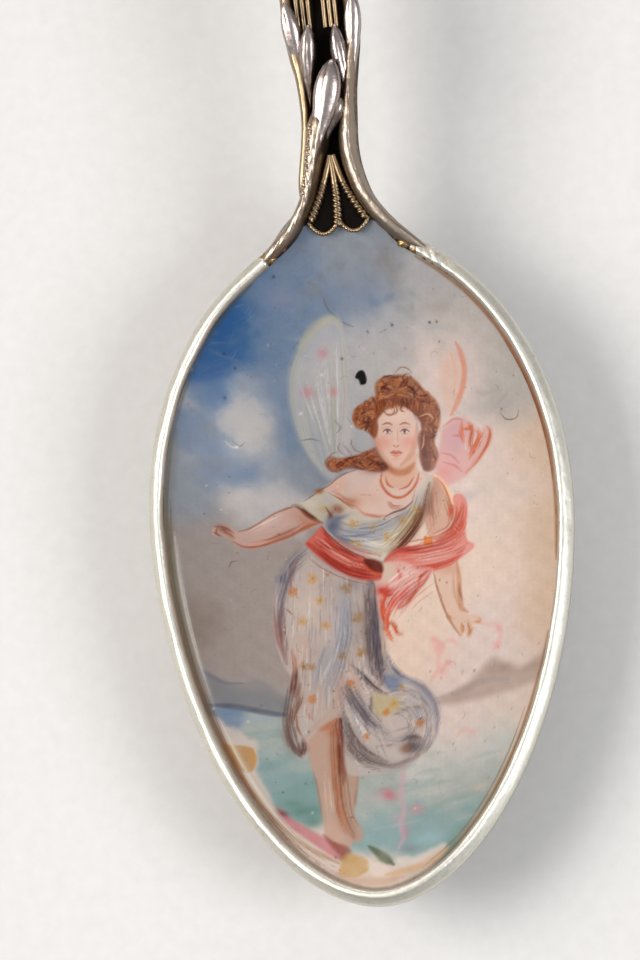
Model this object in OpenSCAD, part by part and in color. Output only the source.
// Souvenir teaspoon: a dished silver bowl lined with painted enamel, and a built-up handle of
// flower stems, buds and an open lily soldered on a backing strip.
// The spoon lies on its back: +Y runs from the bowl's tip to the lily, +X to the right, +Z up.
// "Station" is the distance from the bowl's tip, along Y.

/* [Spoon] */
// Length from the bowl's tip to the end of the lily
spoon_length = 148; // [146:0.5:150]
// Height of the bowl's rim above the table, beside its lowest point
rim_height = 7.4; // [7.3:0.05:7.5]
// How far the tip of the rim rises above that
tip_rise = 0.6; // [0.3:0.1:0.9]

/* [Bowl] */
// Half the bowl's width at its widest station
bowl_half_width = 16; // [15.2:0.05:16.5]
// Station of the widest point
bowl_widest = 29.6; // [29.2:0.1:30]
// From the widest station to the shoulders' end
bowl_upper = 21.2; // [21:0.05:21.4]
// How pointed the tip half is: 2 is an ellipse, less is more pointed
tip_power = 1.85; // [1.75:0.05:1.95]
// Thickness of the silver shell
shell_thickness = 0.9; // [0.8:0.05:1]
// Width of the bezel that holds the enamel
bezel_width = 1.15; // [1.05:0.05:1.2]
// Height of the bezel above the shell's edge
bezel_height = 0.4; // [0.3:0.05:0.5]

/* [Enamel] */
// Thickness of the white enamel ground
ground_thickness = 0.45; // [0.35:0.05:0.5]
// Thickness of the painted enamel and its clear coat
picture_thickness = 0.12; // [0.1:0.01:0.15]

/* [Handle] */
// Thickness of the backing strip
strip_thickness = 0.95; // [0.85:0.05:1.05]
// Radius of the granules on the front stem
bead_radius = 0.17; // [0.14:0.01:0.2]
// Radius of the scalloped wire
wire_radius = 0.17; // [0.14:0.01:0.2]

/* [Hidden] */

silver = [0.78, 0.76, 0.72];
pale_silver = [0.86, 0.85, 0.8];
dark_silver = [0.3, 0.27, 0.22];
solder_colour = [0.66, 0.5, 0.3];
ground_colour = [0.9, 0.87, 0.8];
picture_colour = [0.72, 0.76, 0.78];

tip_y = -spoon_length / 2;   // the box's middle is the origin
centre_s = bowl_widest;      // the bowl's lowest station
wear_flat = 0.14;            // share of the bowl's radius that is worn flat underneath
edge_drop = 0.75;            // the bezel's seat lies this far under the shell's edge
edge_top = 0.4;              // the shell's outer edge starts this far under the rim
edge_low = 1.2;              // and ends this far under it
shoulder_rise = 1.7;         // rim's rise from beside the lowest point to the shoulders
level_s = 22;                // station where the rim is lowest
neck_swell = 6.4;            // outline's swell where the bowl meets the handle
neck_spread = 8.5;           // its spread, in degrees
neck_cap = 1.8;              // and its greatest radial size
bowl_steps = 60;             // steps round the bowl
shell_rings = 8;
bezel_gap = 17;              // half the bezel's opening at the handle, in degrees
hair = 0.02;                 // clearance where a flat solid lies on another

// ---- general functions ----

// Cubic through knots [place, value, ...], flat at both ends; gives [value, ...] at p.
function knot_slope(k, i) = (i <= 0 || i >= len(k) - 1) ? 0 * k[0]
    : (k[i + 1] - k[i - 1]) / (k[i + 1][0] - k[i - 1][0]);
function knot_before(k, p, i = 0) = (i >= len(k) - 2 || p < k[i + 1][0]) ? i : knot_before(k, p, i + 1);
function hermite(a, b, da, db, h, t) = (2 * t^3 - 3 * t^2 + 1) * a + (t^3 - 2 * t^2 + t) * h * da
    + (3 * t^2 - 2 * t^3) * b + (t^3 - t^2) * h * db;
function along(k, p) = let (i = knot_before(k, p), h = k[i + 1][0] - k[i][0],
    t = min(1, max(0, (p - k[i][0]) / h)),
    v = hermite(k[i], k[i + 1], knot_slope(k, i), knot_slope(k, i + 1), h, t)) [for (j = [1:len(v) - 1]) v[j]];
function unit(v) = v / norm(v);

// A closed solid from rings of equal length, each a list of points, capped at both ends.
module loft(rings) {
    n = len(rings[0]);
    m = len(rings);
    points = [for (ring = rings) each ring];
    sides = [for (i = [0:m - 2]) for (j = [0:n - 1]) let (a = i * n + j, b = i * n + (j + 1) % n)
        each [[a, b, b + n], [a, b + n, a + n]]];
    caps = [[for (j = [n - 1:-1:0]) j], [for (j = [0:n - 1]) (m - 1) * n + j]];
    polyhedron(points = points, faces = concat(sides, caps), convexity = 6);
}

// ---- the bowl ----

// phi is measured from +Y towards +X, about the bowl's lowest point.
function upper_radius(phi) = 1 / sqrt((sin(phi) / bowl_half_width)^2 + (cos(phi) / bowl_upper)^2);
function lower_radius(phi) = (abs(sin(phi) / bowl_half_width)^tip_power
    + abs(cos(phi) / bowl_widest)^tip_power)^(-1 / tip_power);
function signed(phi) = phi > 180 ? phi - 360 : phi;
// The swell at the neck fades towards the bowl's middle, where share is 0.
function rim_radius(phi, share = 1) = cos(phi) > 0
    ? upper_radius(phi) + share^5 * min(neck_cap, neck_swell * exp(-(signed(phi) / neck_spread)^2))
    : lower_radius(phi);
function rim_point(phi, share = 1) = let (r = rim_radius(phi, share)) [r * sin(phi), centre_s + r * cos(phi)];
function rim_inward(phi) = let (d = rim_point(phi + 0.5) - rim_point(phi - 0.5)) unit([d.y, -d.x]);
function rim_z(s) = rim_height + (s < level_s ? tip_rise * ((level_s - s) / level_s)^2
    : shoulder_rise * ((s - level_s) / 29)^2);
function inset_point(phi, d, share = 1) = rim_point(phi, share) + d * rim_inward(phi);
function dish(r) = (max(0, r - wear_flat) / (1 - wear_flat))^2;

// A point on a dished surface: r from 0 at the middle to 1 at the bezel's inner edge.
// low is the height at the middle and drop the depth under the rim at the edge.
function dish_point(r, phi, low, drop) = let (e = inset_point(phi, bezel_width, r),
    p = [0, centre_s] + r * (e - [0, centre_s]), top = rim_z(rim_point(phi).y) - drop)
    [p.x, p.y + tip_y, low + (top - low) * dish(r)];
function edge_point(phi, d, z) = let (p = inset_point(phi, d)) [p.x, p.y + tip_y, rim_z(rim_point(phi).y) + z];
function ring_angle(j) = -360 * j / bowl_steps;
function dish_ring(r, low, drop) = [for (j = [0:bowl_steps - 1]) dish_point(r, ring_angle(j), low, drop)];
ring_shares = [for (i = [0:shell_rings]) i == 0 ? wear_flat * 0.6 : wear_flat + (1 - wear_flat) * (i - 1)
    / (shell_rings - 1)];
top_drop = edge_drop;
under_drop = edge_drop + shell_thickness;

// A dished layer between two heights above the shell's inner surface.
module dished_layer(from, to) {
    up = [for (r = ring_shares) dish_ring(r, shell_thickness + to, top_drop - to)];
    down = [for (i = [shell_rings:-1:0]) dish_ring(ring_shares[i], shell_thickness + from, top_drop - from)];
    loft(concat(up, down));
}

module bowl_shell() color(silver) {
    inner = [for (r = ring_shares) dish_ring(r, shell_thickness, top_drop)];
    edge = [for (z = [-edge_top, -edge_low]) [for (j = [0:bowl_steps - 1]) edge_point(ring_angle(j), 0, z)]];
    outer = [for (i = [shell_rings:-1:0]) dish_ring(ring_shares[i], 0, under_drop)];
    loft(concat(inner, edge, outer));
}

// The bezel's section slopes up from its outer edge to a crest; its seat follows the shell.
function bezel_section(phi) = [edge_point(phi, 0, -edge_top), edge_point(phi, bezel_width * 0.05, -0.2),
    edge_point(phi, bezel_width * 0.3, bezel_height * 0.5), edge_point(phi, bezel_width * 0.6, bezel_height),
    edge_point(phi, bezel_width * 0.85, bezel_height * 0.8), edge_point(phi, bezel_width * 0.98, 0.05),
    edge_point(phi, bezel_width, -edge_drop)];

module rim_bezel() color(pale_silver)
    loft([for (i = [0:bowl_steps]) bezel_section(bezel_gap + (360 - 2 * bezel_gap) * i / bowl_steps)]);

module enamel_ground() color(ground_colour) dished_layer(0, ground_thickness);

module enamel_picture() color(picture_colour)
    dished_layer(ground_thickness, ground_thickness + picture_thickness);

// ---- the handle ----

// Height of the deck that the ornament stands on: [station, height].
deck_knots = [[48, 8.75], [52.5, 9.2], [58, 9.95], [66, 10.9], [78, 11.6], [92, 11.1], [108, 8.8],
              [124, 5.4], [134, 2.9], [140, 1.5], [144, 0.95], [149, 0.9]];
function deck(s) = along(deck_knots, s)[0];

// The backing strip: [station, top, half-width]. Its front end tucks under the bowl's shoulder.
strip_knots = [[46.3, 4.585, 0.5], [48.6, 5.945, 1.7], [50.5, 7.075, 2.6], [51.5, 7.6, 2.95],
               [52.7, 7.8, 3.2], [54.2, 9.3, 2.7], [56, 9.66, 2.2], [58, 9.95, 1.95], [61, 10.32, 1.9],
               [66, 10.9, 2.6], [70, 11.2, 2.75], [78, 11.6, 2.3], [86, 11.45, 2.1], [94, 10.9, 2.6],
               [101, 10, 2.6], [109, 8.63, 2.1], [117, 6.97, 2], [124, 5.4, 2.9], [134, 2.9, 4.5],
               [140, 1.5, 3.6], [144, 0.95, 1.5]];
strip_steps = 56;
function strip_ring(s) = let (v = along(strip_knots, s), top = v[0], w = v[1], low = top - strip_thickness)
    [for (p = [[-w, top], [w, top], [w, top - 0.35], [w * 0.75, low + 0.12], [w * 0.4, low],
               [-w * 0.4, low], [-w * 0.75, low + 0.12], [-w, top - 0.35]]) [p[0], s + tip_y, p[1]]];

module backing_strip() color(dark_silver)
    loft([for (i = [0:strip_steps]) strip_ring(46.3 + 97.7 * i / strip_steps)]);

// A strand of D section. Knots are [share of its length, x, station, lift, half-width, height];
// it stands lift above the deck.
function strand_place(k, t) = let (v = along(k, t)) [v[0], v[1] + tip_y, deck(v[1]) + v[2]];
function strand_ring(k, t, sides) = let (v = along(k, t), p = strand_place(k, t),
    ahead = strand_place(k, min(1, t + 0.01)), behind = strand_place(k, max(0, t - 0.01)),
    d = unit([ahead.x - behind.x, ahead.y - behind.y]), across = [d.y, -d.x])
    [for (j = [0:sides]) let (a = 180 - 180 * j / sides, u = v[3] * cos(a), h = v[4] * (0.12 + 0.88 * sin(a)))
        [p.x + across.x * u, p.y + across.y * u, p.z + (j == 0 || j == sides ? 0 : h)]];
module strand(k, rings, sides = 7) {
    loft([for (i = [0:rings]) strand_ring(k, i / rings, sides)]);
}

// The shoulders: each outer stem flares from the waist to its foot on the bowl's rim.
left_stem_knots = [[0, -2.05, 55.8, hair, 0.22, 0.7], [0.05, -1.65, 58.7, hair, 0.3, 1],
                   [0.1, -1.8, 61.7, hair, 0.34, 1.2], [0.17, -2.15, 66, hair, 0.45, 1.2],
                   [0.25, -2.2, 72, hair, 0.55, 1.2], [0.4, -1.75, 82, hair, 0.5, 1.1],
                   [0.55, -2.1, 94, hair, 0.55, 1.1], [0.68, -2.05, 102, hair, 0.55, 1.1],
                   [0.84, -1.6, 111, hair, 0.5, 1], [1, -0.95, 119.3, hair, 0.45, 0.9]];
right_stem_knots = [[0, 4.7, 49.5, hair, 0.42, 0.6], [0.04, 3.6, 50.7, hair, 0.55, 1.1],
                    [0.08, 2.55, 52.3, hair, 0.55, 1.4], [0.13, 1.8, 54.1, hair, 0.5, 1.5],
                    [0.18, 1.4, 57, hair, 0.45, 1.6], [0.24, 1.5, 61, hair, 0.42, 1.5],
                    [0.31, 2.05, 66, hair, 0.5, 1.3], [0.38, 2.2, 72, hair, 0.55, 1.2],
                    [0.5, 1.75, 82, hair, 0.5, 1.1], [0.63, 2.1, 94, hair, 0.55, 1.1],
                    [0.72, 2.05, 102, hair, 0.55, 1.1], [0.86, 1.6, 111, hair, 0.5, 1],
                    [1, 0.95, 119.3, hair, 0.45, 0.9]];
front_stem_knots = [[0, -4.75, 49.5, hair, 0.45, 0.6], [0.13, -3.55, 50.4, hair, 0.45, 1.1],
                    [0.27, -2.65, 51.6, hair, 0.45, 1.5], [0.5, -1.5, 54.2, hair, 0.55, 1.8],
                    [0.72, -0.85, 56.5, hair, 0.72, 2], [1, -0.4, 60, hair, 0.6, 1.4]];

module left_stem() color(silver) strand(left_stem_knots, 44);
module right_stem() color(silver) strand(right_stem_knots, 56);
module front_stem() color(silver) strand(front_stem_knots, 20, 9);

// Granules in a row down the left side of the front stem.
granule_count = 10;
module stem_granules() color(silver)
    for (i = [0:granule_count - 1]) {
        t = 0.45 + 0.46 * i / (granule_count - 1);
        v = along(front_stem_knots, t);
        translate(strand_place(front_stem_knots, t) + [-0.45 * v[3], 0, 0.97 * v[4]])
            sphere(r = bead_radius * (1 - 0.35 * i / granule_count), $fn = 24);
    }

// A closed bud lies on the stems: base and tip as [x, station, lift], then its half-width and height.
bud_profile = [[0, 0.3], [0.15, 0.6], [0.35, 0.92], [0.55, 1], [0.75, 0.84], [0.9, 0.5], [1, 0.12]];
bud_rings = 9;
bud_sides = 10;
module bud(base, tip, width, height) {
    k = bud_profile;
    d = unit([tip.x - base.x, tip.y - base.y]);
    across = [d.y, -d.x];
    loft([for (i = [0:bud_rings]) let (t = i / bud_rings, g = along(k, t)[0], q = base + t * (tip - base),
        z = deck(q.y) + q.z)
        [for (j = [0:bud_sides - 1]) let (a = 360 * (j + 0.5) / bud_sides, u = width * g * cos(a))
            [q.x + across.x * u, q.y + tip_y + across.y * u,
             z + height * 0.5 + height * g * 0.5 * -sin(a)]]]);
}
// A long bud and a short one beside it, as [base, tip, width, height] each.
module bud_pair(long, short, at = [0, 0], flip = 1, size = 1) color(silver)
    for (b = [long, short])
        bud([for (i = [0:2]) i == 0 ? flip * (b[0][0] + at.x) : i == 1 ? b[0][1] + at.y : b[0][2]],
            [for (i = [0:2]) i == 0 ? flip * (b[1][0] + at.x) : i == 1 ? b[1][1] + at.y : b[1][2]],
            b[2] * size, b[3] * size);

front_long = [[-0.3, 58.7, 1.55], [0.75, 62.6, 1.3], 0.95, 1.3];
front_short = [[0.4, 57.4, hair], [0.6, 59.9, hair], 0.3, 1.5];
side_long = [[-1.8, 63, 1.25], [-2.45, 67.5, 1.25], 0.5, 1];
side_short = [[-1.05, 61.8, hair], [-0.95, 65.7, hair], 0.5, 1.2];

module front_buds() bud_pair(front_long, front_short);
module lower_buds_left() bud_pair(side_long, side_short);
module lower_buds_right() bud_pair(side_long, side_short, flip = -1);
middle_lift = 21.5;
module middle_buds_left() bud_pair(side_long, side_short, at = [0.2, middle_lift]);
module middle_buds_right() bud_pair(side_long, side_short, at = [0.2, middle_lift], flip = -1);
upper_lift = 45;
module upper_buds_left() bud_pair(side_long, side_short, at = [0.35, upper_lift], size = 0.92);
module upper_buds_right() bud_pair(side_long, side_short, at = [0.35, upper_lift], flip = -1, size = 0.92);

// Reeds: a bundle of thin stalks that runs from one set of buds to the next.
reed_count = 3;
reed_pitch = 0.5;
module reeds(from, to, side) color(silver)
    for (i = [0:reed_count - 1]) {
        x = 0.3 + reed_pitch * i;
        strand([[0, side * x, from, hair, 0.2, 0.5], [0.2, side * x, from + 2.5, hair, 0.235, 0.85],
                [0.8, side * x, to - 2, hair, 0.235, 0.85], [1, side * x, to, hair, 0.2, 0.5]], 14, 5);
    }
module lower_reeds_left() reeds(64.5, 84.5, -1);
module lower_reeds_right() reeds(64.5, 84.5, 1);
module upper_reeds_left() reeds(88, 108, -1);
module upper_reeds_right() reeds(88, 108, 1);

// The fan at the root of the handle: three ribs from one apex to the scalloped wire's cusps.
fan_apex = [0.05, 56.1];
fan_cusps = [[-1.95, 51.4], [0.15, 50.95], [2.4, 51.2]];
rib_radius = 0.27;
rib_rings = 14;
function fan_z(s) = rim_z(s) - 0.12;
module rib(cusp) {
    loft([for (i = [0:rib_rings]) let (t = i / rib_rings, p = fan_apex + t * (cusp - fan_apex),
        z = max(fan_z(p.y), deck(p.y) - 0.3 + 0.55 * (1 - t)) + rib_radius * 0.6, r = rib_radius * (0.7 + 0.4 * t))
        [for (j = [0:7]) [p.x + r * cos(-45 * j), p.y + tip_y, z + r * sin(-45 * j)]]]);
}
module fan_ribs() color(silver) for (cusp = fan_cusps) rib(cusp);

// A wire of two scallops edges the enamel between the stems.
scallop_steps = 32;
scallop_depth = 0.95;
function scallop_place(t) = [-2.05 + 4.6 * t, 51.35 - scallop_depth * abs(sin(360 * t))^0.8];
function scallop_ring(t) = let (p = scallop_place(t), d = unit(scallop_place(min(1, t + 0.01))
    - scallop_place(max(0, t - 0.01))), across = [d.y, -d.x])
    [for (j = [0:5]) let (a = -60 * j) [p.x + across.x * wire_radius * cos(a),
        p.y + tip_y + across.y * wire_radius * cos(a), fan_z(p.y) + wire_radius * (0.9 + sin(a))]];
module scalloped_wire() color(silver) loft([for (i = [0:scallop_steps]) scallop_ring(i / scallop_steps)]);

// Fillets of solder where the stems' feet meet the bezel: a smooth mound each.
module mound(x, s, size) translate([x, s + tip_y, rim_z(s) + 0.3]) scale(size) sphere(r = 1, $fn = 32);
module solder_left() color(solder_colour) mound(-5.25, 49.05, 0.5);
module solder_right() color(solder_colour) mound(5.1, 49.1, 0.45);

// ---- the lily ----

// A petal rises from its base and curls at its tip. Profile: [share, half-width, lift].
petal_profile = [[0, 0.14, 0], [0.2, 0.58, 0.02], [0.45, 1, 0.05], [0.65, 0.95, 0.12], [0.85, 0.6, 0.24],
                 [1, 0.06, 0.34]];
petal_rings = 12;
module petal(angle, length, width, lift, thick) {
    d = [sin(angle), cos(angle)];
    base = [0, 126.2] + 1.2 * d;
    across = [cos(angle), -sin(angle)];
    loft([for (i = [0:petal_rings]) let (t = i / petal_rings, v = along(petal_profile, t),
        q = base + length * t * d, w = width * v[0])
        [for (j = [0:9]) let (e = j < 5 ? j / 4 : (9 - j) / 4, u = w * (2 * e - 1), cup = 0.28 * (2 * e - 1)^2 * v[0],
            face = j < 5 ? thick : 0)
            [q.x + across.x * u, q.y + tip_y + across.y * u, max(deck(q.y), 0.15) + lift + 2.2 * v[1] + cup + face]]]);
}
module back_petals() color(silver) for (a = [-28, 28]) petal(a, 16, 3, 0.05, 0.6);
module front_petals() color(silver) {
    petal(0, 20.6, 3.1, 0.75, 0.6);
    for (a = [-56, 56]) petal(a, 10.8, 2.4, 0.75, 0.6);
}

// The calyx: a ribbed cup that the stems run into and the petals open from.
calyx_knots = [[0, 0, 119.5, hair, 0.4, 1], [0.45, 0, 122.5, hair, 1.5, 2], [0.8, 0, 125.2, hair, 2.1, 2.5],
               [1, 0, 126.4, hair, 1.5, 1.8]];
module calyx() color(silver) strand(calyx_knots, 10, 12);

// Three stamens, each a filament that swells into an anther.
stamen_angles = [-16, 0, 16];
module stamens() color(silver)
    for (a = stamen_angles) {
        tip = [8.5 * sin(a), 127.6 + 8.5 * cos(a)];
        strand([[0, 2 * sin(a), 128, 1.4, 0.16, 0.5], [0.6, tip.x * 0.7, 132, 1.5, 0.2, 0.5],
                [0.85, tip.x * 0.92, tip.y - 1.2, 1.8, 0.5, 0.9], [1, tip.x, tip.y, 2, 0.15, 0.5]], 14, 5);
    }

bowl_shell();
rim_bezel();
enamel_ground();
enamel_picture();
scalloped_wire();
fan_ribs();
backing_strip();
left_stem();
right_stem();
front_stem();
stem_granules();
front_buds();
lower_buds_left();
lower_buds_right();
lower_reeds_left();
lower_reeds_right();
middle_buds_left();
middle_buds_right();
upper_reeds_left();
upper_reeds_right();
upper_buds_left();
upper_buds_right();
calyx();
back_petals();
front_petals();
stamens();
solder_left();
solder_right();
